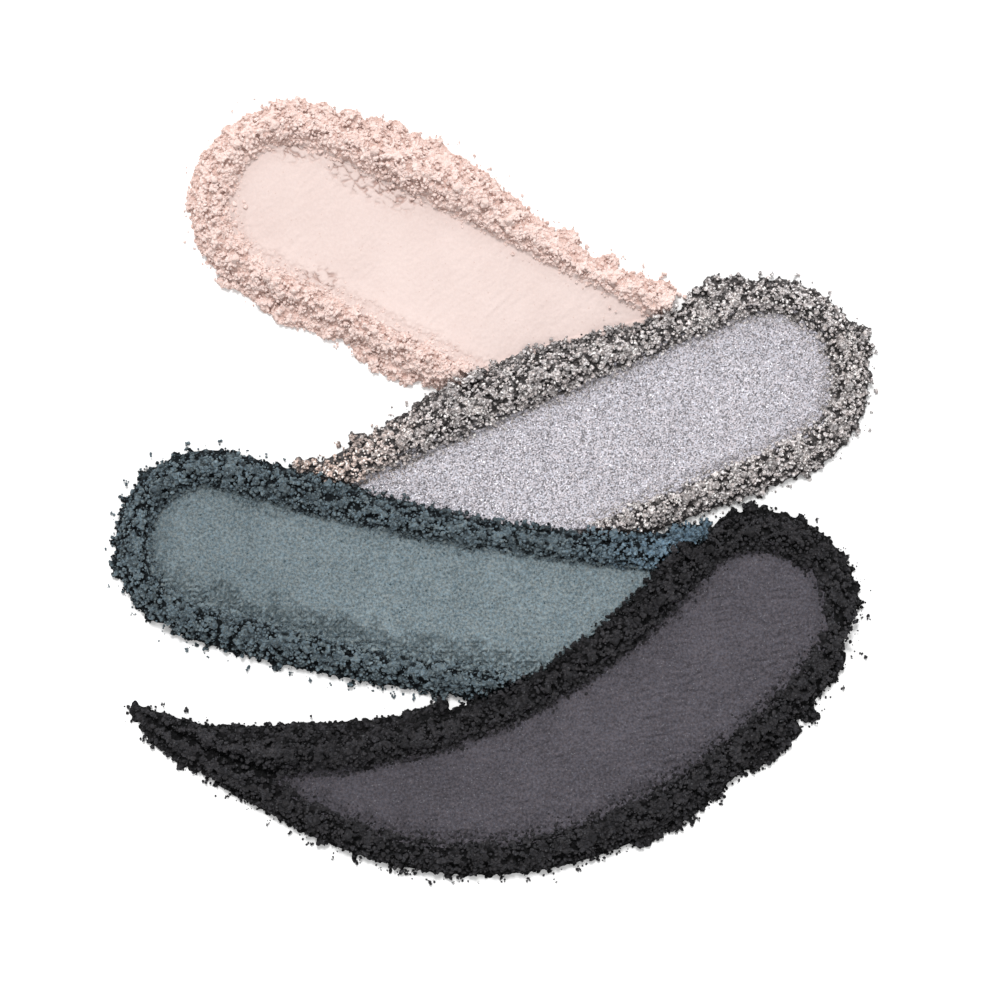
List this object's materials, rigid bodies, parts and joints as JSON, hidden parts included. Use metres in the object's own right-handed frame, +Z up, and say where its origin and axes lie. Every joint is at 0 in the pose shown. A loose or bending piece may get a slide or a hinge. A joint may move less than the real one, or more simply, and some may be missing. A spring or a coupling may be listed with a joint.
{
  "type": "eyeshadow powder smear",
  "caption": "Overlapping spatula strokes of crushed eyeshadow powder on a flat surface, each a thin pressed bed between crumbled ridges.",
  "frame": {"origin": "middle of the set's footprint, on the surface that the powder lies on", "axes": "+Z up from the surface; +Y towards the rose stroke, away from the charcoal one; +X towards the end where the silver and charcoal strokes begin"},
  "size_m": [0.0776, 0.0786, 0.0044],
  "materials": {
    "rose_pressed": "matte pressed powder, smooth",
    "rose_crumbled": "matte crumbled powder in soft lumps",
    "silver_pressed": "pressed powder with fine metallic shimmer",
    "silver_crumbled": "crumbled powder with bright metallic glints",
    "teal_pressed": "matte pressed powder with a fine grain",
    "teal_crumbled": "matte crumbled powder",
    "charcoal_pressed": "matte pressed powder with tiny bright specks",
    "charcoal_crumbled": "matte crumbled powder, nearly black"
  },
  "bodies": {
    "root": {"rose_bed": "rose_pressed", "rose_cap_ridge": "rose_crumbled", "rose_upper_ridge": "rose_crumbled", "rose_lower_ridge": "rose_crumbled", "rose_clumps": "rose_crumbled", "rose_crumbs": "rose_crumbled", "silver_bed": "silver_pressed", "silver_cap_ridge": "silver_crumbled", "silver_upper_ridge": "silver_crumbled", "silver_lower_ridge": "silver_crumbled", "silver_clumps": "silver_crumbled", "silver_crumbs": "silver_crumbled", "teal_bed": "teal_pressed", "teal_cap_ridge": "teal_crumbled", "teal_upper_ridge": "teal_crumbled", "teal_lower_ridge": "teal_crumbled", "teal_clumps": "teal_crumbled", "teal_crumbs": "teal_crumbled", "charcoal_bed": "charcoal_pressed", "charcoal_cap_ridge": "charcoal_crumbled", "charcoal_upper_ridge": "charcoal_crumbled", "charcoal_lower_ridge": "charcoal_crumbled", "charcoal_clumps": "charcoal_crumbled", "charcoal_crumbs": "charcoal_crumbled"}
  },
  "joints": []
}
